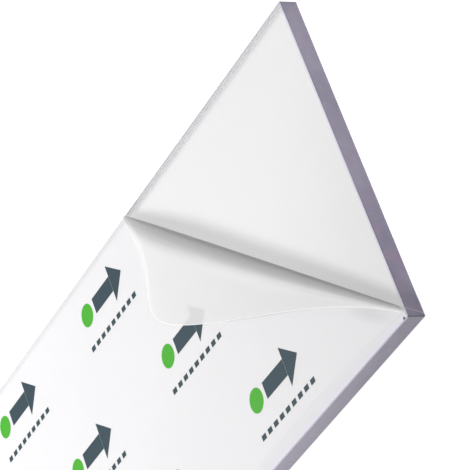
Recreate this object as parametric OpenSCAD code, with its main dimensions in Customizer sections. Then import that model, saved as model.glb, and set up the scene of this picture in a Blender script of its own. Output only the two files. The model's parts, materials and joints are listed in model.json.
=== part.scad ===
// A cut panel of clear polycarbonate sheet, lying flat, with its masking film
// still bonded to the upper face and peeled back from one corner.
// The panel is centred on X and Y and its lower face lies at Z = 0.

/* [Clear sheet] */
// Length of the cut panel, along X
sheet_length = 400; // [300:5:600]
// Width of the cut panel, along Y
sheet_width = 180; // [120:5:240]
// Gauge of the clear sheet
sheet_gauge = 10; // [4:0.5:20]
// Leg of the chamfer that eases every sawn arris
arris = 0.4; // [0.1:0.1:1.5]

/* [Masking film] */
// Thickness of the masking film
film_gauge = 0.1; // [0.05:0.01:0.2]
// Where the crease leaves the cut end, measured from the front corner
crease_near = 5; // [1:0.5:30]
// Where the crease meets the rear edge, measured from the peeled corner
crease_far = 182; // [100:1:240]

/* [Peeled flap] */
// Radius of the rolled crease at the cut end
roll_near = 1.2; // [0.3:0.1:3]
// Radius of the rolled crease at the rear edge
roll_far = 0.3; // [0.2:0.05:1]
// Radius of the rolled crease where it stands highest
roll_max = 6.6; // [1:0.1:9]
// Place of the flap's tip along the crease, from the cut end
tip_along = 186; // [150:1:215]
// Distance of the flap's tip from the crease
tip_reach = 45; // [25:1:70]
// Angle by which the long free edge still leaves the crease at the tip
tip_angle = 11; // [0:1:20]
// Length of the handle that swells the tip out past the end of the long edge
tip_round = 60; // [10:1:80]
// Height of the free edge above the bonded film
edge_gap = 0.5; // [0.3:0.1:2]
// Share of the roll's height at which the long free edge hovers near the cut end
edge_lift = 0.65; // [0:0.05:0.8]

/* [Hidden] */

// Steps along the crease, round the roll and across the flap
crease_steps = 44;
roll_steps = 7;
flap_steps = 7;
row_points = roll_steps + flap_steps + 1;

// The film is cut flush with the sheet and ends where the chamfers begin
film_x = sheet_length / 2 - arris;
film_y = sheet_width / 2 - arris;

// The crease runs from the cut end to the rear edge, in the film's plane
crease_start = [film_x, crease_near - sheet_width / 2];
crease_end = [sheet_length / 2 - crease_far, film_y];
crease_length = norm(crease_end - crease_start);
along = (crease_end - crease_start) / crease_length;
peeled_side = [along.y, -along.x];

// Share of the crease over which the roll grows from the cut end, and its lean
roll_peak = 0.76;
roll_sharpness = 0.75;
// Share of the roll radius by which the roll overhangs the straight crease line
roll_overhang = 0.38;
// Share of the flap's reach over which it bends down from the roll before it runs straight
roll_bend = 0.3;
// Width that the flap keeps at the near and the far end of the crease
near_lip = 2;
far_lip = 0.3;
// Handles of the flap's two edge curves, as shares of the edge that they shape
near_handle = 0.29;
far_handle = 0.26;
// Rise of the long edge at its first handle, as a share of the tip's reach
near_rise = 0.09;
// Last handle of the side edge, as shares of the remaining crease and of the reach
side_run = 0.76;
side_reach = 0.53;

// Radius of the roll at a share of the crease
function roll_radius(share) =
    let (warped = share < roll_peak
            ? share / roll_peak / 2
            : 0.5 + (share - roll_peak) / (1 - roll_peak) / 2,
         least = roll_near + (roll_far - roll_near) * share)
    least + (roll_max - least) * pow(max(0, sin(180 * warped)), roll_sharpness);

// Point of a cubic curve through four control points
function cubic(p, t) =
    pow(1 - t, 3) * p[0] + 3 * t * pow(1 - t, 2) * p[1]
    + 3 * t * t * (1 - t) * p[2] + pow(t, 3) * p[3];

// The flap's free edge: a long curve out to the tip and a short one back,
// each point given as its distance along the crease and away from it
tip = [tip_along, tip_reach];
tip_direction = [cos(tip_angle), sin(tip_angle)];
long_edge = [
    [0, near_lip],
    [near_handle * tip_along, near_rise * tip_reach],
    tip - far_handle * tip_along * tip_direction,
    tip
];
side_edge = [
    tip,
    tip + tip_round * tip_direction,
    [crease_length - side_run * (crease_length - tip_along), side_reach * tip_reach],
    [crease_length, far_lip]
];
long_share = tip_along / crease_length;
function free_edge(share) =
    share < long_share
        ? cubic(long_edge, share / long_share)
        : cubic(side_edge, (share - long_share) / (1 - long_share));

// Height of the free edge's middle surface above the sheet's upper face
function edge_height(share) =
    1.5 * film_gauge + edge_gap
    + edge_lift * max(0, 1 - share / long_share) * 2 * roll_radius(share);

// Point of the film's middle surface, from the crease's own axes to the panel's
function placed(a, out, up) =
    let (plan = crease_start + a * along - out * peeled_side)
    [plan.x, plan.y, sheet_gauge + up];

// Middle surface of the roll, half a turn from the bonded film to its top
function roll_point(share, turn) =
    let (r = roll_radius(share))
    placed(
        share * crease_length,
        r * (1 - roll_overhang - sin(turn)),
        film_gauge / 2 + r * (1 - cos(turn))
    );

// Share of its height that the flap keeps: it bends over, then runs straight
function fall(t) =
    t < roll_bend
        ? 1 - t * t / (roll_bend * (2 - roll_bend))
        : (1 - t) * 2 / (2 - roll_bend);

// Middle surface of the flap, from the top of the roll down to the free edge
function flap_point(share, t) =
    let (r = roll_radius(share),
         top = film_gauge / 2 + 2 * r,
         foot = edge_height(share),
         edge = free_edge(share),
         start = [share * crease_length, r * (1 - roll_overhang)],
         plan = start + t * (edge - start))
    placed(plan.x, plan.y, foot + (top - foot) * fall(t));

function middle_point(share, j) =
    j <= roll_steps
        ? roll_point(share, 180 * j / roll_steps)
        : flap_point(share, (j - roll_steps) / flap_steps);

function unit(v) = v / norm(v);

// Direction from the film's bonded face to its printed face, across one row
function printed_side(share, j) =
    let (before = middle_point(share, max(0, j - 1)),
         after = middle_point(share, min(row_points - 1, j + 1)),
         run = unit(after - before))
    j == 0 ? [0, 0, 1] : unit(cross(run, [along.x, along.y, 0]));

function film_row(i, side) =
    let (share = i / crease_steps)
    [for (j = [0 : row_points - 1])
        middle_point(share, j) + side * film_gauge / 2 * printed_side(share, j)];

module eased_prism(length, width, height) {
    linear_extrude(height = height, center = true)
        polygon([
            for (corner = [[1, 1], [-1, 1], [-1, -1], [1, -1]])
                each let (
                    x = corner.x * length / 2,
                    y = corner.y * width / 2,
                    cut_x = [x - corner.x * arris, y],
                    cut_y = [x, y - corner.y * arris]
                )
                corner.x * corner.y > 0 ? [cut_y, cut_x] : [cut_x, cut_y]
        ]);
}

// One solid slab: three eased prisms meet, so all twelve arrises are chamfered
module clear_sheet() {
    color([0.86, 0.86, 0.9, 0.4])
        translate([0, 0, sheet_gauge / 2])
            intersection() {
                eased_prism(sheet_length, sheet_width, sheet_gauge);
                rotate([90, 0, 0])
                    eased_prism(sheet_length, sheet_gauge, sheet_width);
                rotate([0, 90, 0])
                    eased_prism(sheet_gauge, sheet_width, sheet_length);
            }
}

// One continuous film: the bonded area, the rolled crease and the raised flap.
// The bonded area ends on the line where the roll begins to lift.
module masking_film() {
    lower_rows = [for (i = [0 : crease_steps]) film_row(i, -1)];
    upper_rows = [for (i = [0 : crease_steps]) film_row(i, 1)];
    corners = [[-film_x, film_y], [-film_x, -film_y], [film_x, -film_y]];
    lower_corners = [for (c = corners) [c.x, c.y, sheet_gauge]];
    upper_corners = [for (c = corners) [c.x, c.y, sheet_gauge + film_gauge]];

    rows = crease_steps + 1;
    upper = rows * row_points;
    lower_corner = 2 * rows * row_points;
    upper_corner = lower_corner + len(corners);
    last = row_points - 1;

    function low(i, j) = i * row_points + j;
    function high(i, j) = upper + low(i, j);
    function flipped(face) = [for (k = [len(face) - 1 : -1 : 0]) face[k]];

    bonded_low = concat(
        [for (i = [0 : crease_steps]) low(i, 0)],
        [for (k = [0 : len(corners) - 1]) lower_corner + k]
    );
    bonded_high = concat(
        [for (i = [0 : crease_steps]) high(i, 0)],
        [for (k = [0 : len(corners) - 1]) upper_corner + k]
    );
    // Cut edge of the bonded area, from the crease's far end round to its near end
    rim_low = concat([low(crease_steps, 0)],
        [for (k = [0 : len(corners) - 1]) lower_corner + k], [low(0, 0)]);
    rim_high = concat([high(crease_steps, 0)],
        [for (k = [0 : len(corners) - 1]) upper_corner + k], [high(0, 0)]);

    faces = concat(
        [bonded_low, flipped(bonded_high)],
        [for (k = [0 : len(rim_low) - 2])
            [rim_low[k], rim_high[k], rim_high[k + 1], rim_low[k + 1]]],
        [for (i = [0 : crease_steps - 1], j = [0 : last - 1]) each [
            [low(i, j), low(i, j + 1), low(i + 1, j + 1)],
            [low(i, j), low(i + 1, j + 1), low(i + 1, j)],
            [high(i, j), high(i + 1, j + 1), high(i, j + 1)],
            [high(i, j), high(i + 1, j), high(i + 1, j + 1)]
        ]],
        [for (i = [0 : crease_steps - 1])
            [low(i, last), high(i, last), high(i + 1, last), low(i + 1, last)]],
        [for (j = [0 : last - 1]) each [
            [low(0, j), high(0, j), high(0, j + 1), low(0, j + 1)],
            [low(crease_steps, j), low(crease_steps, j + 1),
                high(crease_steps, j + 1), high(crease_steps, j)]
        ]]
    );
    color([0.95, 0.95, 0.97, 0.9])
        polyhedron(
            points = concat(
                [for (row = lower_rows) each row],
                [for (row = upper_rows) each row],
                lower_corners,
                upper_corners
            ),
            faces = faces,
            convexity = 6
        );
}

clear_sheet();
masking_film();
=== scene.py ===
"""Dresses a cut panel of clear polycarbonate sheet and its peeled masking film.

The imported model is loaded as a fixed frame. The slab stays as it is and gets its material. The
film is made again, finer, as one skin that is bonded, rolls over at the crease and ends in the
loose flap. Lengths are in metres, in the row frame.
"""

from __future__ import annotations

import json
import logging
import math
from dataclasses import dataclass, field
from enum import Enum
from typing import Any, Callable, Union

import bpy
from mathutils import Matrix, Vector

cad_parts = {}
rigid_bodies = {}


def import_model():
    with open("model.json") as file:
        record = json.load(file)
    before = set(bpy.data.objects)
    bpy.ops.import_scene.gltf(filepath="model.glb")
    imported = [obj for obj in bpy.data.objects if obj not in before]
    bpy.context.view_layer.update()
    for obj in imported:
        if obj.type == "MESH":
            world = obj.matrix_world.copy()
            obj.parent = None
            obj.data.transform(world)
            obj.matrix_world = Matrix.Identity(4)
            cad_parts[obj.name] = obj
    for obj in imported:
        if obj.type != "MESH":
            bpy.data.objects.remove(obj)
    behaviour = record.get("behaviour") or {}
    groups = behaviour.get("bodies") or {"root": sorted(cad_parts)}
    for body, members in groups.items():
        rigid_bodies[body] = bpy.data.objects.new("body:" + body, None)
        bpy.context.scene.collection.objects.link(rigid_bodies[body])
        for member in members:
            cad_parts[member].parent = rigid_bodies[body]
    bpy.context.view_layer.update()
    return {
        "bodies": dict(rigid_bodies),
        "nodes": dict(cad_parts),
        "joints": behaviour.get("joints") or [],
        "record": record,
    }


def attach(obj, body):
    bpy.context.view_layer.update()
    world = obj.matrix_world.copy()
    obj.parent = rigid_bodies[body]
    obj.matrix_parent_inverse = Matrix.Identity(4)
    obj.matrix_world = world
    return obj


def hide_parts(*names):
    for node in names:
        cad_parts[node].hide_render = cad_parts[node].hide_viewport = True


MM = 0.001
LOG = logging.getLogger("polycarbonate_sheet")

Colour = tuple[float, float, float]
Place = tuple[float, float, float]
Pair = tuple[float, float]
Band = tuple[float, float]
Number = Union[int, float, "Value"]
Spot = tuple["Value", "Value", "Value"]

WHITE: Colour = (1.0, 1.0, 1.0)
BLACK: Colour = (0.0, 0.0, 0.0)
NOISE_BAND: Band = (0.3, 0.7)


class Ink(Enum):
    """Ink colours of the print on the masking film."""

    SLATE = (0.026, 0.050, 0.066)
    GREEN = (0.052, 0.360, 0.018)


class Value:
    """A shader socket that takes part in Python expressions."""

    def __init__(self, shop: "NodeShop", socket: bpy.types.NodeSocket) -> None:
        """Keeps the socket and the shop that adds nodes behind it."""
        self.shop = shop
        self.socket = socket

    def _with(self, operation: str, *inputs: Number) -> "Value":
        """Returns the result of one Math node on the given inputs."""
        return self.shop.maths(operation, *inputs)

    def __add__(self, other: Number) -> "Value":
        """Returns self + other."""
        return self._with("ADD", self, other)

    def __radd__(self, other: Number) -> "Value":
        """Returns other + self."""
        return self._with("ADD", other, self)

    def __sub__(self, other: Number) -> "Value":
        """Returns self - other."""
        return self._with("SUBTRACT", self, other)

    def __rsub__(self, other: Number) -> "Value":
        """Returns other - self."""
        return self._with("SUBTRACT", other, self)

    def __mul__(self, other: Number) -> "Value":
        """Returns self * other."""
        return self._with("MULTIPLY", self, other)

    def __rmul__(self, other: Number) -> "Value":
        """Returns other * self."""
        return self._with("MULTIPLY", other, self)

    def __truediv__(self, other: Number) -> "Value":
        """Returns self / other."""
        return self._with("DIVIDE", self, other)

    def __rtruediv__(self, other: Number) -> "Value":
        """Returns other / self."""
        return self._with("DIVIDE", other, self)

    def __abs__(self) -> "Value":
        """Returns the size of self without its sign."""
        return self._with("ABSOLUTE", self)

    def __and__(self, other: "Value") -> "Value":
        """Returns the smaller of two masks, so what lies in both."""
        return self._with("MINIMUM", self, other)

    def __or__(self, other: "Value") -> "Value":
        """Returns the larger of two masks, so what lies in either."""
        return self._with("MAXIMUM", self, other)

    def power(self, exponent: float) -> "Value":
        """Returns self raised to a power."""
        return self._with("POWER", self, exponent)

    def root(self) -> "Value":
        """Returns the square root of self."""
        return self._with("SQRT", self)

    def floor(self) -> "Value":
        """Returns self rounded down."""
        return self._with("FLOOR", self)

    def wrapped(self, period: float) -> "Value":
        """Returns self brought into one period that is centred on zero."""
        return self._with("WRAP", self, period / 2, -period / 2)

    def ramp(self, low: float, high: float, to_low: float = 0.0, to_high: float = 1.0) -> "Value":
        """Returns self eased between two levels as it goes from low to high.

        Args:
            low: Value at which the result is to_low.
            high: Value at which the result is to_high.
            to_low: Result at low and below.
            to_high: Result at high and above.

        Returns:
            The eased value.
        """
        node = self.shop.node(
            "ShaderNodeMapRange",
            {"interpolation_type": "SMOOTHSTEP"},
            {
                "Value": self,
                "From Min": low,
                "From Max": high,
                "To Min": to_low,
                "To Max": to_high,
            },
        )
        return Value(self.shop, node.outputs["Result"])


class NodeShop:
    """Builds one node material."""

    def __init__(self, name: str) -> None:
        """Makes an empty node material of that name."""
        self.material = bpy.data.materials.new(name)
        self.material.use_nodes = True
        self.tree = self.material.node_tree
        self.tree.nodes.clear()

    def node(self, kind: str, settings: dict[str, Any], inputs: dict[Any, Any]) -> bpy.types.Node:
        """Adds one node.

        Args:
            kind: The node's type.
            settings: Its properties, set first.
            inputs: Values or links by socket name or index.

        Returns:
            The new node.
        """
        node = self.tree.nodes.new(kind)
        for key, value in settings.items():
            setattr(node, key, value)
        for key, value in inputs.items():
            self._feed(node.inputs[key], value)
        return node

    def _feed(self, socket: bpy.types.NodeSocket, value: Any) -> None:
        """Links a socket to a value or another socket, or sets it.

        Args:
            socket: The input that is fed.
            value: A value, another socket, a colour or a number.
        """
        if isinstance(value, Value):
            self.tree.links.new(value.socket, socket)
        elif isinstance(value, bpy.types.NodeSocket):
            self.tree.links.new(value, socket)
        elif socket.type == "RGBA" and len(value) == 3:
            socket.default_value = (*value, 1.0)
        else:
            socket.default_value = value

    def maths(self, operation: str, *inputs: Number) -> Value:
        """Returns the result of a Math node."""
        node = self.node("ShaderNodeMath", {"operation": operation}, dict(enumerate(inputs)))
        return Value(self, node.outputs[0])

    def place(self) -> tuple[Value, Value, Value]:
        """Returns the Object coordinates X, Y and Z."""
        source = self.node("ShaderNodeTexCoord", {}, {})
        return self.split(source.outputs["Object"])

    def facing(self) -> tuple[Value, Value, Value]:
        """Returns the object-space normal's X, Y and Z."""
        source = self.node("ShaderNodeTexCoord", {}, {})
        return self.split(source.outputs["Normal"])

    def split(self, vector: bpy.types.NodeSocket) -> tuple[Value, Value, Value]:
        """Returns the three parts of a vector."""
        node = self.node("ShaderNodeSeparateXYZ", {}, {0: vector})
        return tuple(Value(self, node.outputs[k]) for k in range(3))

    def joined(self, x: Number, y: Number, z: Number) -> bpy.types.NodeSocket:
        """Returns a vector made from three values."""
        return self.node("ShaderNodeCombineXYZ", {}, {0: x, 1: y, 2: z}).outputs[0]

    def attribute(self, name: str) -> Value:
        """Returns a number that the mesh carries on its points."""
        node = self.node("ShaderNodeAttribute", {"attribute_name": name}, {})
        return Value(self, node.outputs["Fac"])

    def noise(self, where: bpy.types.NodeSocket, scale: float, detail: float = 2.0) -> Value:
        """Returns smooth noise that keeps mostly within the noise band.

        Args:
            where: The coordinates to read it at.
            scale: Cells per metre.
            detail: Octaves of finer noise on top.

        Returns:
            The noise.
        """
        node = self.node(
            "ShaderNodeTexNoise", {}, {"Vector": where, "Scale": scale, "Detail": detail}
        )
        return Value(self, node.outputs["Fac"])

    def blend(self, factor: Number, first: Any, second: Any) -> bpy.types.NodeSocket:
        """Returns one colour at factor 0 and another at factor 1."""
        node = self.node(
            "ShaderNodeMix",
            {"data_type": "RGBA"},
            {"Factor": factor, 6: first, 7: second},
        )
        return node.outputs[2]

    def bump(self, height: Value, depth: float) -> bpy.types.NodeSocket:
        """Returns a normal that follows a height, in metres at full depth."""
        node = self.node(
            "ShaderNodeBump", {}, {"Height": height, "Distance": depth, "Strength": 1.0}
        )
        return node.outputs["Normal"]

    def mixed(
        self, factor: Any, first: bpy.types.NodeSocket, second: bpy.types.NodeSocket
    ) -> bpy.types.NodeSocket:
        """Returns one shader at factor 0 and another at factor 1."""
        return self.node("ShaderNodeMixShader", {}, {0: factor, 1: first, 2: second}).outputs[0]

    def close(self, shader: bpy.types.NodeSocket) -> bpy.types.Material:
        """Links the surface and returns the finished material."""
        self.node("ShaderNodeOutputMaterial", {}, {"Surface": shader})
        return self.material


@dataclass(frozen=True)
class SheetSize:
    """Sizes of the slab, which the film, the finishes and the floor share."""

    length: float = 400 * MM
    width: float = 180 * MM
    gauge: float = 10 * MM
    arris: float = 0.4 * MM

    @property
    def half_x(self) -> float:
        """Returns the distance from the middle to a cut end."""
        return self.length / 2

    @property
    def half_y(self) -> float:
        """Returns the distance from the middle to a long edge."""
        return self.width / 2

    @property
    def film_x(self) -> float:
        """Returns the distance from the middle to the film's border at a cut end."""
        return self.half_x - self.arris

    @property
    def film_y(self) -> float:
        """Returns the distance from the middle to the film's border at a long edge."""
        return self.half_y - self.arris


def from_front_corner(x: Value, y: Value, half_x: float, half_y: float) -> Value:
    """Returns how far a place lies from the peeled end's front corner, summed along both edges."""
    return (half_x - x) + (y + half_y)


@dataclass(frozen=True)
class ClearSheetFinish:
    """Glass-clear faces and satin sawn edges of solid polycarbonate."""

    size: SheetSize = field(default_factory=SheetSize)
    tint: Colour = (0.975, 0.968, 0.973)
    lamp_tint: Colour = (0.93, 0.93, 0.94)
    fringe: Colour = (0.92, 0.89, 1.0)
    fringe_band: Band = (1.4 * MM, 1.12 * MM)
    cut_colour: Colour = (0.055, 0.047, 0.103)
    cut_blush: Colour = (0.086, 0.053, 0.108)
    blush_band: Band = (0.40, 0.60)
    blush_cells: float = 130.0
    # Painted shade: the sawn faces are darker toward the peeled end's front corner and lighter away
    # from it.
    cut_shade_share: float = 0.5
    corner_shade_reach: float = 130 * MM
    long_colour: Colour = (0.107, 0.093, 0.155)
    long_pale: Colour = (0.190, 0.168, 0.254)
    mottle_cells: float = 45.0
    mottle_share: float = 0.25
    line_colour: Colour = (0.0165, 0.0141, 0.0309)
    line_band: Band = (8.7 * MM, 9.5 * MM)
    line_share: float = 0.8
    upright_band: Band = (-0.9 * MM, -0.5 * MM)
    # Painted highlight: a glint colour along the cut end's top arris.
    arris_glint: Colour = (0.80, 0.76, 0.95)
    glint_band: Band = (9.58 * MM, 9.66 * MM)
    # Painted highlight: a pale line along the front edge's top arris, and one thin painted reflection
    # line across the peeled cut end.
    painted_highlight: Colour = (0.42, 0.39, 0.50)
    highlight_band: Band = (9.2 * MM, 9.8 * MM)
    highlight_share: float = 0.7
    streak_start: float = -84.9 * MM
    streak_slant: float = 0.35
    streak_band: Band = (0.35 * MM, 0.105 * MM)
    streak_share: float = 0.4
    peeled_end: Band = (0.0, 1 * MM)
    # Painted light: the rear long edge is a lighter copy of the sawn satin, paler still toward its
    # foot.
    rear_lit_top: Colour = (0.235, 0.222, 0.265)
    rear_lit_foot: Colour = (0.76, 0.75, 0.79)
    rear_rise: Band = (7.5 * MM, 3.0 * MM)
    rear_side: Band = (60 * MM, 80 * MM)
    rear_edge: Band = (89.2 * MM, 89.55 * MM)
    rear_ease: float = 0.7
    sawn_facing: Band = (0.9, 0.6)
    arris_facing: Band = (0.3, 0.6)
    long_facing: Band = (0.6, 0.9)
    refractive_index: float = 1.585
    face_roughness: float = 0.03
    edge_roughness: Band = (0.42, 0.57)
    edge_clearness: float = 0.78
    saw_pitch: float = 0.9 * MM
    saw_slope: float = 0.15
    saw_depth: float = 0.006 * MM

    def make(self) -> bpy.types.Material:
        """Returns the material of the clear slab."""
        shop = NodeShop("clear_polycarbonate")
        x, y, z = shop.place()
        _, normal_y, normal_z = shop.facing()
        rear = y.ramp(*self.rear_edge)
        rear_arris = rear & abs(normal_z).ramp(*self.arris_facing)
        around = shop.joined(x + y, 0.0, z * self.saw_slope)
        marks = shop.noise(around, 1.0 / self.saw_pitch)

        long_side = abs(normal_y).ramp(*self.long_facing)
        edge = shop.node(
            "ShaderNodeBsdfPrincipled",
            {},
            {
                "Base Color": self._sawn_colour(shop, (x, y, z), long_side),
                "Roughness": (marks & (1.0 - rear)).ramp(*NOISE_BAND, *self.edge_roughness),
                "IOR": self.refractive_index,
                "Transmission Weight": self.edge_clearness,
                "Alpha": 1.0 - rear_arris * self.rear_ease,
                "Normal": shop.bump(marks * (1.0 - rear), self.saw_depth),
            },
        )
        sawn = abs(normal_z).ramp(*self.sawn_facing)
        return shop.close(shop.mixed(sawn, self._clear_face(shop, x, y), edge.outputs[0]))

    def _clear_face(self, shop: NodeShop, x: Value, y: Value) -> bpy.types.NodeSocket:
        """Returns the shader of the polished faces, which let the lamp's light straight through.

        Args:
            shop: The material's nodes.
            x: Place along the sheet, in metres.
            y: Place across the sheet, in metres.

        Returns:
            The shader.
        """
        inset = (self.size.half_x - abs(x)) & (self.size.half_y - abs(y))
        face = shop.node(
            "ShaderNodeBsdfPrincipled",
            {},
            {
                "Base Color": shop.blend(inset.ramp(*self.fringe_band), self.tint, self.fringe),
                "Roughness": self.face_roughness,
                "IOR": self.refractive_index,
                "Transmission Weight": 1.0,
            },
        )
        open_way = shop.node("ShaderNodeBsdfTransparent", {}, {"Color": self.lamp_tint})
        shadow_ray = shop.node("ShaderNodeLightPath", {}, {}).outputs["Is Shadow Ray"]
        return shop.mixed(shadow_ray, face.outputs[0], open_way.outputs[0])

    def _sawn_colour(self, shop: NodeShop, place: Spot, long_side: Value) -> bpy.types.NodeSocket:
        """Returns the colour of all sawn faces, with painted shade that darkens them toward the front
        corner.

        Args:
            shop: The material's nodes.
            place: The Object coordinates.
            long_side: Mask of the faces along the two long edges.

        Returns:
            The colour.
        """
        x, y, z = place
        from_corner = from_front_corner(x, y, self.size.half_x, self.size.half_y)
        # Painted shade: 0 at the front corner, where the sawn faces are darkest, rising to 1 further
        # away.
        corner_shade_fade = from_corner.ramp(0.0, self.corner_shade_reach)
        cut = self._cut_end(shop, place, corner_shade_fade)
        satin = shop.blend(long_side, cut, self._long_edge(shop, place, corner_shade_fade))
        mottle = shop.noise(shop.joined(x + y, 0.0, z), self.mottle_cells).ramp(*NOISE_BAND)
        satin = shop.blend(mottle * self.mottle_share, satin, self.long_pale)
        near_end = (abs(x) - self.size.half_x).ramp(*self.upright_band)
        near_side = (abs(y) - self.size.half_y).ramp(*self.upright_band)
        return shop.blend((near_end & near_side) * self.line_share, satin, self.line_colour)

    def _cut_end(self, shop: NodeShop, place: Spot, corner_shade_fade: Value) -> bpy.types.NodeSocket:
        """Returns the colour of the cut ends: a dark line, a painted highlight along the top arris
        and one thin painted reflection line.

        Args:
            shop: The material's nodes.
            place: The Object coordinates.
            corner_shade_fade: How far the painted shade has faded away from the front corner.

        Returns:
            The colour.
        """
        x, y, z = place
        blush = shop.noise(shop.joined(x + y, 0.0, z), self.blush_cells).ramp(*self.blush_band)
        cut = shop.blend(blush, self.cut_colour, self.cut_blush)
        # Painted shade: the cut end lightens toward the long edges' colour away from the front
        # corner.
        cut = shop.blend(corner_shade_fade * self.cut_shade_share, cut, self.long_colour)
        cut = shop.blend(z.ramp(*self.line_band) * self.line_share, cut, self.line_colour)
        # Painted highlight along the cut end's top arris.
        cut = shop.blend(z.ramp(*self.glint_band), cut, self.arris_glint)
        # Painted reflection: one thin pale line slanting across the peeled cut end.
        slant = (self.size.gauge - z) * self.streak_slant
        reflection_line = abs(y - self.streak_start + slant).ramp(*self.streak_band)
        reflection_line = reflection_line & x.ramp(*self.peeled_end)
        return shop.blend(reflection_line * self.streak_share, cut, self.painted_highlight)

    def _long_edge(self, shop: NodeShop, place: Spot, corner_shade_fade: Value) -> bpy.types.NodeSocket:
        """Returns the colour of the long edges; the rear one is a painted lighter copy of the satin,
        paler still toward its foot.

        Args:
            shop: The material's nodes.
            place: The Object coordinates.
            corner_shade_fade: How far the painted shade has faded away from the front corner.

        Returns:
            The colour.
        """
        _, y, z = place
        # Painted shade: the front edge is darker toward the front corner.
        front = shop.blend(corner_shade_fade, self.long_colour, self.long_pale)
        # Painted highlight along the front edge's top arris.
        front = shop.blend(z.ramp(*self.highlight_band) * self.highlight_share, front, self.painted_highlight)
        # Painted light: the rear edge is lighter than the front one and paler toward its foot.
        rear = shop.blend(z.ramp(*self.rear_rise), self.rear_lit_top, self.rear_lit_foot)
        return shop.blend(y.ramp(*self.rear_side), front, rear)


@dataclass(frozen=True)
class MaskingPrint:
    """Generic handling marks that repeat over the film, in staggered rows."""

    pitch_along: float = 116 * MM
    pitch_across: float = 62 * MM
    first_mark: Pair = (98 * MM, -64 * MM)
    last_mark: float = 150 * MM
    softness: float = 0.12 * MM
    arrow_line: float = 9 * MM
    shaft_middle: float = -8 * MM
    shaft_half: Pair = (11 * MM, 4.6 * MM)
    head_base: float = 3 * MM
    head_length: float = 13 * MM
    head_half: float = 11 * MM
    dot_middle: float = -28 * MM
    dot_radius: float = 6.4 * MM
    dash_line: float = -9 * MM
    dash_pitch: float = 6.5 * MM
    dash_half: Pair = (2.1 * MM, 1.5 * MM)
    dash_count: int = 9

    def _within(self, distance: Value, reach: float) -> Value:
        """Returns the mask of what lies within a reach, with a soft border."""
        return distance.ramp(reach + self.softness, reach - self.softness)

    def _box(self, x: Value, y: Value, half: Pair) -> Value:
        """Returns the mask of a rectangle centred on zero."""
        return self._within(abs(x), half[0]) & self._within(abs(y), half[1])

    def masks(self, x: Value, y: Value) -> tuple[Value, Value]:
        """Returns where the slate and the green ink lie.

        Args:
            x: Place along the sheet, in metres.
            y: Place across the sheet, in metres.

        Returns:
            The slate mask and the green mask.
        """
        from_first = y - self.first_mark[1]
        row = (from_first / self.pitch_across + 0.5).floor()
        u = (x - self.first_mark[0] + row * (self.pitch_along / 2)).wrapped(self.pitch_along)
        v = from_first - row * self.pitch_across

        off_arrow = v - self.arrow_line
        shaft = self._box(u - self.shaft_middle, off_arrow, self.shaft_half)
        ahead = u - self.head_base
        slope = abs(off_arrow) + ahead * (self.head_half / self.head_length)
        head = self._within(slope, self.head_half) & ahead.ramp(-self.softness, self.softness)
        from_dot = u - self.dot_middle
        dot = self._within((from_dot * from_dot + off_arrow * off_arrow).root(), self.dot_radius)
        dashes = self._box(u.wrapped(self.dash_pitch), v - self.dash_line, self.dash_half)
        row_half = self.dash_count * self.dash_pitch / 2
        dash_row = self._within(abs(u + self.dash_pitch), row_half)
        kept = self._within(x, self.last_mark)
        return (shaft | head | (dashes & dash_row)) & kept, dot & kept


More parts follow.
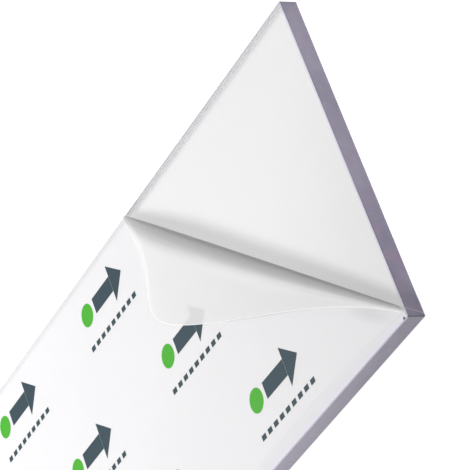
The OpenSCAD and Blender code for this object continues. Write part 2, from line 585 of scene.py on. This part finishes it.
@dataclass(frozen=True)
class MaskingFilmFinish:
    """Milky film that lets what lies beneath show faintly."""

    size: SheetSize = field(default_factory=SheetSize)
    film_colour: Colour = (0.835, 0.828, 0.840)
    cloud_cells: float = 14.0
    cloud_shade: float = 0.985
    margin_colour: Colour = (0.790, 0.782, 0.800)
    margin: float = 7.0 * MM
    margin_border: Band = (2 * MM, -1.5 * MM)
    margin_draw: Band = (-20 * MM, 70 * MM)
    margin_least: float = 0.2
    rear_colour: Colour = (0.750, 0.745, 0.755)
    rear_line: float = 1.4 * MM
    rear_band: Band = (3.4 * MM, 0.2 * MM)
    hem_colour: Colour = (0.800, 0.780, 0.880)
    hem_band: Band = (2.4 * MM, 0.8 * MM)
    # Painted shadow: a long soft darker patch beside the flap's edge near the front corner.
    flap_shadow_colour: Colour = (0.735, 0.728, 0.742)
    flap_shadow_place: Pair = (176.0 * MM, -73.5 * MM)
    flap_shadow_turn: Pair = (-0.78, 0.62)
    flap_shadow_half: Pair = (24 * MM, 5 * MM)
    flap_shadow_band: Band = (1.0, 0.1)
    # A small dark spot at the film's front corner.
    corner_spot_colour: Colour = (0.06, 0.05, 0.09)
    corner_spot_place: Pair = (197.3 * MM, -89.2 * MM)
    corner_spot_band: Band = (1.1 * MM, 0.66 * MM)
    flap_colour: Colour = (0.840, 0.838, 0.842)
    # Painted light: a faint glow on the loose flap stands in for light passing through the film.
    painted_flap_glow: Colour = (0.032, 0.032, 0.032)
    # Painted shade: the roll is darkened from where the film lifts to just past its top.
    roll_shade_colour: Colour = (0.44, 0.44, 0.44)
    roll_shade_power: float = 1.2
    # Painted highlight: a thin bright line along the flap's free edge.
    rim_highlight: Colour = (0.93, 0.93, 0.93)
    loose_band: Band = (0.0, 0.44)
    rim_band: Band = (0.4 * MM, 0.15 * MM)
    film_cover: float = 0.62
    flap_cover: float = 0.50
    roll_shade_cover: float = 0.92
    rim_cover: float = 0.9
    ink_cover: float = 0.985
    roughness: float = 0.38
    ink_roughness: float = 0.50
    sheen: float = 0.12
    ripple_cells: float = 30.0
    ripple_share: float = 0.16
    ridge_half: float = 1.4 * MM
    ridge_share: float = 0.25
    ridge_height: float = 0.5 * MM
    marks: MaskingPrint = field(default_factory=MaskingPrint)

    def make(self) -> bpy.types.Material:
        """Returns the material of the film, with the print on its bonded area."""
        shop = NodeShop("masking_film")
        x, y, z = shop.place()
        loose = shop.attribute("loose").ramp(*self.loose_band)
        bonded = 1.0 - loose
        rim = shop.attribute("rim").ramp(*self.rim_band) & loose
        # Painted shade on the roll, carried as a point attribute.
        bend = shop.attribute("bend").power(self.roll_shade_power)
        corner_spot = self._corner_spot(x, y)
        slate, green = self.marks.masks(x, y)
        printed = (slate | green) * bonded

        from_front = y + self.size.film_y
        draw = (self.size.half_x - x).ramp(*self.margin_draw, self.margin_least, 1.0)
        ridge_line = from_front - draw * self.margin
        milk = self._milk(shop, (x, y, z), ridge_line)
        milk = shop.blend(corner_spot, milk, self.corner_spot_colour)
        milk = shop.blend(loose, milk, self.flap_colour)
        # Painted shade: darkens the roll.
        milk = shop.blend(bend, milk, self.roll_shade_colour)
        # Painted highlight along the flap's free edge.
        milk = shop.blend(rim, milk, self.rim_highlight)
        inked = shop.blend(slate, Ink.GREEN.value, Ink.SLATE.value)

        cover = loose * (self.flap_cover - self.film_cover) + self.film_cover
        cover = cover + printed * (self.ink_cover - self.film_cover)
        # The roll's painted shade is also made nearly opaque.
        cover = cover | (rim * self.rim_cover) | (bend * self.roll_shade_cover) | (corner_spot * bonded)

        ripples = shop.noise(shop.joined(x, y * 2.0, 0.0), self.ripple_cells, 3.0)
        ridge = abs(ridge_line).ramp(self.ridge_half, 0.0) * bonded
        height = ripples * self.ripple_share + ridge * self.ridge_share
        film = shop.node(
            "ShaderNodeBsdfPrincipled",
            {},
            {
                "Base Color": shop.blend(printed, milk, inked),
                "Roughness": printed * (self.ink_roughness - self.roughness) + self.roughness,
                "Specular IOR Level": self.sheen,
                "Alpha": cover,
                # Painted light: faint glow on the loose flap, kept off the shaded roll.
                "Emission Color": shop.blend(loose * (1.0 - bend), BLACK, self.painted_flap_glow),
                "Emission Strength": 1.0,
                "Normal": shop.bump(height, self.ridge_height),
            },
        )
        return shop.close(film.outputs[0])

    def _corner_spot(self, x: Value, y: Value) -> Value:
        """Returns the mask of the small dark spot at the film's front corner."""
        spot_x, spot_y = x - self.corner_spot_place[0], y - self.corner_spot_place[1]
        return (spot_x * spot_x + spot_y * spot_y).root().ramp(*self.corner_spot_band)

    def _flap_shadow(self, x: Value, y: Value) -> Value:
        """Returns the mask of the long soft painted shadow beside the flap's edge near the front
        corner.

        Args:
            x: Place along the sheet, in metres.
            y: Place across the sheet, in metres.

        Returns:
            The mask.
        """
        from_x, from_y = x - self.flap_shadow_place[0], y - self.flap_shadow_place[1]
        turn_x, turn_y = self.flap_shadow_turn
        run = (from_x * turn_x + from_y * turn_y) / self.flap_shadow_half[0]
        out = (from_x * turn_y - from_y * turn_x) / self.flap_shadow_half[1]
        return (run * run + out * out).root().ramp(*self.flap_shadow_band)

    def _milk(self, shop: NodeShop, place: Spot, ridge_line: Value) -> bpy.types.NodeSocket:
        """Returns the colour of the bonded film without its print, with a painted shadow beside the
        flap near the front corner.

        Args:
            shop: The material's nodes.
            place: The Object coordinates.
            ridge_line: Distance from the soft ridge beside the front edge, positive behind it.

        Returns:
            The colour.
        """
        x, y, z = place
        cloud = shop.noise(shop.joined(x, y, z), self.cloud_cells).ramp(*NOISE_BAND)
        shaded = tuple(self.cloud_shade * c for c in self.film_colour)
        milk = shop.blend(cloud, self.film_colour, shaded)
        milk = shop.blend(ridge_line.ramp(*self.margin_border), milk, self.margin_colour)
        rear_band = abs(self.size.film_y - y - self.rear_line).ramp(*self.rear_band)
        milk = shop.blend(rear_band, milk, self.rear_colour)
        hem = (y + self.size.film_y).ramp(*self.hem_band)
        milk = shop.blend(hem, milk, self.hem_colour)
        # Painted shadow beside the flap's edge near the front corner.
        return shop.blend(self._flap_shadow(x, y), milk, self.flap_shadow_colour)


@dataclass(frozen=True)
class FloorFinish:
    """Plain pale floor that glows as painted light: white outside the sheet's footprint, dimmer
    beneath the sheet and dimmer still toward its front corner.
    """

    size: SheetSize = field(default_factory=SheetSize)
    colour: Colour = (0.34, 0.34, 0.34)
    grain_cells: float = 6.0
    grain_shade: float = 0.99
    # Painted light: the floor's glow beneath the sheet, with painted shade that dims it toward the
    # front corner.
    under_sheet_glow: Colour = (0.435, 0.435, 0.435)
    under_corner_shade: Colour = (0.365, 0.365, 0.365)
    corner_reach: float = 200 * MM
    border: float = 0.5 * MM
    roughness: float = 0.6
    glow: float = 1.05

    def make(self) -> bpy.types.Material:
        """Returns the floor's material."""
        shop = NodeShop("pale_floor")
        x, y, _ = shop.place()
        grain = shop.noise(shop.joined(x, y, 0.0), self.grain_cells).ramp(*NOISE_BAND)
        colour = shop.blend(grain, self.colour, tuple(self.grain_shade * c for c in self.colour))
        outer_x, outer_y = self.size.half_x + self.border, self.size.half_y + self.border
        inner_x, inner_y = self.size.half_x - self.border, self.size.half_y - self.border
        covered = abs(x).ramp(outer_x, inner_x) & abs(y).ramp(outer_y, inner_y)
        near = from_front_corner(x, y, outer_x, outer_y).ramp(0.0, self.corner_reach)
        # Painted shade: the glow beneath the sheet dims toward the front corner.
        under = shop.blend(near, self.under_corner_shade, self.under_sheet_glow)
        surface = shop.node(
            "ShaderNodeBsdfPrincipled",
            {},
            {
                "Base Color": colour,
                "Roughness": self.roughness,
                "Emission Color": shop.blend(covered, WHITE, under),
                "Emission Strength": self.glow,
            },
        )
        return shop.close(surface.outputs[0])


def cubic(points: list[Vector], t: float) -> Vector:
    """Returns a point of a cubic curve.

    Args:
        points: The four control points.
        t: Share of the curve, from 0 at its start to 1 at its end.

    Returns:
        The point.
    """
    s = 1.0 - t
    return (
        s**3 * points[0]
        + 3.0 * t * s**2 * points[1]
        + 3.0 * t**2 * s * points[2]
        + t**3 * points[3]
    )


def select_alone(piece: bpy.types.Object) -> None:
    """Selects one object by itself and makes it active.

    Args:
        piece: The object.
    """
    bpy.ops.object.select_all(action="DESELECT")
    piece.select_set(True)
    bpy.context.view_layer.objects.active = piece


@dataclass
class ClearSheet:
    """The extruded slab: the CAD node itself, dressed."""

    finish: ClearSheetFinish = field(default_factory=ClearSheetFinish)

    def build(self, frame: dict[str, Any]) -> bpy.types.Object:
        """Returns the CAD slab, whose shape is already right."""
        return frame["nodes"]["clear_sheet"]

    def dress(self, piece: bpy.types.Object) -> None:
        """Gives the slab its material."""
        piece.data.materials.clear()
        piece.data.materials.append(self.finish.make())


@dataclass
class MaskingFilm:
    """One continuous film: bonded area, rolled crease and raised flap."""

    sheet: SheetSize = field(default_factory=SheetSize)
    gauge: float = 0.1 * MM
    crease_near: float = 5 * MM
    crease_far: float = 182 * MM
    roll_near: float = 1.2 * MM
    roll_far: float = 0.3 * MM
    roll_max: float = 6.6 * MM
    roll_peak: float = 0.76
    roll_sharpness: float = 0.75
    roll_overhang: float = 0.38
    roll_bend: float = 0.3
    tip_along: float = 186 * MM
    tip_reach: float = 45 * MM
    tip_angle: float = math.radians(11)
    tip_round: float = 60 * MM
    near_handle: float = 0.29
    far_handle: float = 0.26
    near_rise: float = 0.09
    side_run: float = 0.76
    side_reach: float = 0.53
    near_lip: float = 2 * MM
    far_lip: float = 0.3 * MM
    edge_gap: float = 0.5 * MM
    edge_lift: float = 0.65
    # Painted shade along the roll: share of full shade at each turn, then its fall past the top.
    shade_knots: tuple[Band, ...] = ((0.0, 0.0), (0.40, 0.70), (0.52, 1.0), (0.70, 0.78))
    shade_fall: Band = (1.30, 0.80)
    smooth_angle: float = math.radians(40)
    merge_distance: float = 0.001 * MM
    crease_steps: int = 176
    near_border_steps: int = 2
    front_border_steps: int = 78
    far_border_steps: int = 32
    bonded_steps: int = 24
    roll_steps: int = 24
    flap_steps: int = 40
    finish: MaskingFilmFinish = field(default_factory=MaskingFilmFinish)

    def __post_init__(self) -> None:
        """Works out the crease line and the flap's outline from the sizes."""
        self.start = Vector((self.sheet.film_x, self.crease_near - self.sheet.half_y))
        self.end = Vector((self.sheet.half_x - self.crease_far, self.sheet.film_y))
        self.crease_length = (self.end - self.start).length
        self.along = (self.end - self.start).normalized()
        self.peeled_side = Vector((self.along.y, -self.along.x))
        tip = Vector((self.tip_along, self.tip_reach))
        heading = Vector((math.cos(self.tip_angle), math.sin(self.tip_angle)))
        run_left = self.crease_length - self.tip_along
        self.long_edge = [
            Vector((0.0, self.near_lip)),
            Vector((self.near_handle * self.tip_along, self.near_rise * self.tip_reach)),
            tip - self.far_handle * self.tip_along * heading,
            tip,
        ]
        self.side_edge = [
            tip,
            tip + self.tip_round * heading,
            Vector(
                (self.crease_length - self.side_run * run_left, self.side_reach * self.tip_reach)
            ),
            Vector((self.crease_length, self.far_lip)),
        ]
        self.long_share = self.tip_along / self.crease_length

    def roll_radius(self, share: float) -> float:
        """Returns the roll's radius.

        Args:
            share: Share of the crease, from the cut end to the rear edge.

        Returns:
            The radius, in metres.
        """
        if share < self.roll_peak:
            warped = share / self.roll_peak / 2
        else:
            warped = 0.5 + (share - self.roll_peak) / (1 - self.roll_peak) / 2
        hump = max(0.0, math.sin(math.pi * warped)) ** self.roll_sharpness
        least = self.roll_near + (self.roll_far - self.roll_near) * share
        return least + (self.roll_max - least) * hump

    def free_edge(self, share: float) -> Vector:
        """Returns a point of the flap's outline.

        Args:
            share: Share of the crease, from the cut end to the rear edge.

        Returns:
            The point's distance along the crease and away from it.
        """
        if share < self.long_share:
            return cubic(self.long_edge, share / self.long_share)
        return cubic(self.side_edge, (share - self.long_share) / (1 - self.long_share))

    def edge_height(self, share: float) -> float:
        """Returns the free edge's height above the sheet's upper face."""
        hover = self.edge_lift * max(0.0, 1.0 - share / self.long_share)
        return 1.5 * self.gauge + self.edge_gap + hover * 2 * self.roll_radius(share)

    def placed(self, run: float, out: float, up: float) -> Vector:
        """Returns a point given along the crease, away from it and above the sheet."""
        plan = self.start + run * self.along - out * self.peeled_side
        return Vector((plan.x, plan.y, self.sheet.gauge + up))

    def lift_plan(self, share: float) -> Vector:
        """Returns the place on the sheet where the film lifts off into the roll."""
        out = self.roll_radius(share) * (1 - self.roll_overhang)
        return self.placed(share * self.crease_length, out, 0.0).to_2d()

    def rim_point(self, step: int) -> Vector:
        """Returns a point on the bonded area's border, from the crease's near end round.

        Args:
            step: Step of the crease that the point belongs to.

        Returns:
            The point on the film's middle surface.
        """
        far_x, far_y = self.sheet.film_x, self.sheet.film_y
        corners = [
            self.lift_plan(0.0),
            Vector((far_x, -far_y)),
            Vector((-far_x, -far_y)),
            Vector((-far_x, far_y)),
            self.lift_plan(1.0),
        ]
        near_end = self.near_border_steps
        front_end = near_end + self.front_border_steps
        stops = [0, near_end, front_end, front_end + self.far_border_steps, self.crease_steps]
        side = next(k for k in range(len(stops) - 1) if step <= stops[k + 1])
        along_side = (step - stops[side]) / (stops[side + 1] - stops[side])
        plan = corners[side].lerp(corners[side + 1], along_side)
        return Vector((plan.x, plan.y, self.sheet.gauge + self.gauge / 2))

    def roll_point(self, share: float, turn: float) -> Vector:
        """Returns a point of the roll.

        Args:
            share: Share of the crease, from the cut end to the rear edge.
            turn: Angle round the roll, from 0 on the sheet to pi on top.

        Returns:
            The point on the film's middle surface.
        """
        r = self.roll_radius(share)
        out = r * (1 - self.roll_overhang - math.sin(turn))
        return self.placed(share * self.crease_length, out, self.gauge / 2 + r * (1 - math.cos(turn)))

    def flap_point(self, share: float, t: float) -> Vector:
        """Returns a point of the flap.

        Args:
            share: Share of the crease, from the cut end to the rear edge.
            t: Share of the flap, from the top of the roll to the free edge.

        Returns:
            The point on the film's middle surface.
        """
        r = self.roll_radius(share)
        top = self.gauge / 2 + 2 * r
        foot = self.edge_height(share)
        crest = Vector((share * self.crease_length, r * (1 - self.roll_overhang)))
        plan = crest.lerp(self.free_edge(share), t)
        return self.placed(plan.x, plan.y, foot + (top - foot) * self.fall(t))

    def fall(self, t: float) -> float:
        """Returns how high the flap still is: it bends over, then runs straight.

        Args:
            t: Share of the flap, from the top of the roll to the free edge.

        Returns:
            The share of its height that it keeps.
        """
        if t < self.roll_bend:
            return 1.0 - t * t / (self.roll_bend * (2.0 - self.roll_bend))
        return (1.0 - t) * 2.0 / (2.0 - self.roll_bend)

    def middle_point(self, i: int, j: int) -> Vector:
        """Returns a point of the film's middle surface.

        Args:
            i: Step along the crease.
            j: Step across, over the bonded area, round the roll and out over the flap.

        Returns:
            The point.
        """
        share = i / self.crease_steps
        if j <= self.bonded_steps:
            return self.rim_point(i).lerp(self.roll_point(share, 0.0), j / self.bonded_steps)
        past_lift = j - self.bonded_steps
        if past_lift <= self.roll_steps:
            return self.roll_point(share, math.pi * past_lift / self.roll_steps)
        return self.flap_point(share, (past_lift - self.roll_steps) / self.flap_steps)

    def roll_shade_share(self, i: int, past_lift: int) -> float:
        """Returns how strongly the painted shade darkens the roll, fading out just past its top.

        Args:
            i: Step along the crease.
            past_lift: Steps past the line where the film lifts off.

        Returns:
            The share of the full shade.
        """
        if past_lift <= 0:
            return 0.0
        turn = past_lift / self.roll_steps
        if past_lift > self.roll_steps:
            crest = self.middle_point(i, self.bonded_steps + self.roll_steps)
            past_crest = (self.middle_point(i, self.bonded_steps + past_lift) - crest).length
            turn = 1.0 + past_crest / (math.pi * self.roll_radius(i / self.crease_steps))
        share = self.shade_knots[-1][1]
        for (start, low), (end, high) in zip(self.shade_knots, self.shade_knots[1:]):
            if turn < end:
                share = low + (high - low) * (turn - start) / (end - start)
                break
        gone, full = self.shade_fall
        left = min(1.0, max(0.0, (gone - turn) / (gone - full)))
        return share * left * left * (3.0 - 2.0 * left)

    def build(self, frame: dict[str, Any]) -> bpy.types.Object:
        """Lays a grid over the film's middle surface and gives it its thickness.

        Args:
            frame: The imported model, which the film lies in.

        Returns:
            The film.
        """
        columns = self.bonded_steps + self.roll_steps + self.flap_steps
        bpy.ops.object.select_all(action="DESELECT")
        bpy.ops.mesh.primitive_grid_add(
            x_subdivisions=columns, y_subdivisions=self.crease_steps, size=2.0
        )
        film = bpy.context.active_object
        film.name = film.data.name = "peeled_masking_film"
        mesh = film.data
        loose, rim, bend = (
            mesh.attributes.new(name, "FLOAT", "POINT") for name in ("loose", "rim", "bend")
        )
        for vertex in mesh.vertices:
            j = round((vertex.co.x + 1.0) / 2.0 * columns)
            i = round((vertex.co.y + 1.0) / 2.0 * self.crease_steps)
            past_lift = max(0, j - self.bonded_steps)
            vertex.co = self.middle_point(i, j)
            to_edge = self.middle_point(i, columns) - self.middle_point(i, j)
            loose.data[vertex.index].value = past_lift
            rim.data[vertex.index].value = to_edge.length
            # Painted shade of the roll, kept on each point.
            bend.data[vertex.index].value = self.roll_shade_share(i, past_lift)
        mesh.update()
        self.thicken(film)
        return film

    def thicken(self, film: bpy.types.Object) -> None:
        """Merges doubled points, turns the faces outward and gives the film its gauge.

        Args:
            film: The film's middle surface.
        """
        select_alone(film)
        bpy.ops.object.mode_set(mode="EDIT")
        bpy.ops.mesh.select_all(action="SELECT")
        bpy.ops.mesh.remove_doubles(threshold=self.merge_distance)
        bpy.ops.mesh.normals_make_consistent(inside=False)
        bpy.ops.object.mode_set(mode="OBJECT")
        wall = film.modifiers.new("gauge", "SOLIDIFY")
        wall.thickness = self.gauge
        wall.offset = 0.0
        wall.use_even_offset = False
        bpy.ops.object.modifier_apply(modifier=wall.name)
        bpy.ops.object.shade_smooth_by_angle(angle=self.smooth_angle)

    def dress(self, film: bpy.types.Object) -> None:
        """Gives the film its material, hides the CAD film and attaches the new film to the root body.

        Args:
            film: The finished film.
        """
        film.data.materials.clear()
        film.data.materials.append(self.finish.make())
        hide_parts("masking_film")
        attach(film, "root")


@dataclass
class Studio:
    """Pale floor, soft light and the camera."""

    floor_size: float = 12.0
    camera_place: Place = (1.1252, -0.6500, 0.7864)
    camera_turn: Place = (-2.471, 57.585, -36.176)
    clip: Pair = (0.01, 50.0)
    lens: float = 225.8
    sensor: float = 36.0
    sky: float = 0.45
    sky_tint: Colour = (1.0, 0.99, 0.995)
    backdrop: float = 1.05
    key_power: float = 14.6
    key_place: Place = (-0.61, 0.24, 1.00)
    key_size: float = 0.44
    finish: FloorFinish = field(default_factory=FloorFinish)

    def build_floor(self) -> None:
        """Makes the floor that the panel lies on."""
        bpy.ops.object.select_all(action="DESELECT")
        bpy.ops.mesh.primitive_plane_add(size=self.floor_size, location=(0.0, 0.0, 0.0))
        floor = bpy.context.active_object
        floor.name = "pale_floor"
        bpy.ops.object.mode_set(mode="EDIT")
        bpy.ops.mesh.subdivide(number_cuts=3)
        bpy.ops.object.mode_set(mode="OBJECT")
        floor.data.materials.append(self.finish.make())

    def build_sky(self) -> None:
        """Makes the even dim sky, which the camera sees as a white backdrop."""
        world = bpy.data.worlds.new("soft_studio")
        bpy.context.scene.world = world
        world.use_nodes = True
        nodes, links = world.node_tree.nodes, world.node_tree.links
        light = nodes["Background"]
        light.inputs["Color"].default_value = (*self.sky_tint, 1.0)
        light.inputs["Strength"].default_value = self.sky
        backdrop = nodes.new("ShaderNodeBackground")
        backdrop.inputs["Color"].default_value = (*WHITE, 1.0)
        backdrop.inputs["Strength"].default_value = self.backdrop
        path = nodes.new("ShaderNodeLightPath")
        both = nodes.new("ShaderNodeMixShader")
        links.new(path.outputs["Is Camera Ray"], both.inputs[0])
        links.new(light.outputs[0], both.inputs[1])
        links.new(backdrop.outputs[0], both.inputs[2])
        links.new(both.outputs[0], nodes["World Output"].inputs["Surface"])

    def build_key(self) -> None:
        """Makes one large soft lamp behind the masked end."""
        lamp = bpy.data.lights.new("key", "AREA")
        lamp.shape = "DISK"
        lamp.size = self.key_size
        lamp.energy = self.key_power
        key = bpy.data.objects.new("key", lamp)
        key.location = self.key_place
        key.rotation_euler = (-Vector(self.key_place)).to_track_quat("-Z", "Y").to_euler()
        key.visible_camera = False
        bpy.context.scene.collection.objects.link(key)

    def build_camera(self) -> None:
        """Makes the camera, turned on its side as the photo's is."""
        lens = bpy.data.cameras.new("camera")
        lens.lens = self.lens
        lens.sensor_width = self.sensor
        lens.clip_start, lens.clip_end = self.clip
        camera = bpy.data.objects.new("camera", lens)
        camera.location = self.camera_place
        camera.rotation_euler = [math.radians(turn) for turn in self.camera_turn]
        bpy.context.scene.collection.objects.link(camera)
        bpy.context.scene.camera = camera

    def build_view(self) -> None:
        """Sets the plain colour transform."""
        view = bpy.context.scene.view_settings
        view.view_transform = "Standard"
        view.look = "None"


def main() -> None:
    """Builds and dresses the panel, then lights it."""
    logging.basicConfig(level=logging.INFO, format="%(message)s")
    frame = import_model()
    studio = Studio()
    studio.build_camera()
    studio.build_view()

    sheet = ClearSheet()
    film = MaskingFilm()
    parts: list[tuple[str, Callable, Callable]] = [
        ("clear sheet", sheet.build, sheet.dress),
        ("masking film", film.build, film.dress),
    ]
    for name, build, dress in parts:
        piece = build(frame)
        dress(piece)
        LOG.info("%s: %s, %d faces", name, piece.name, len(piece.data.polygons))

    studio.build_floor()
    studio.build_sky()
    studio.build_key()


if __name__ == "__main__":
    main()
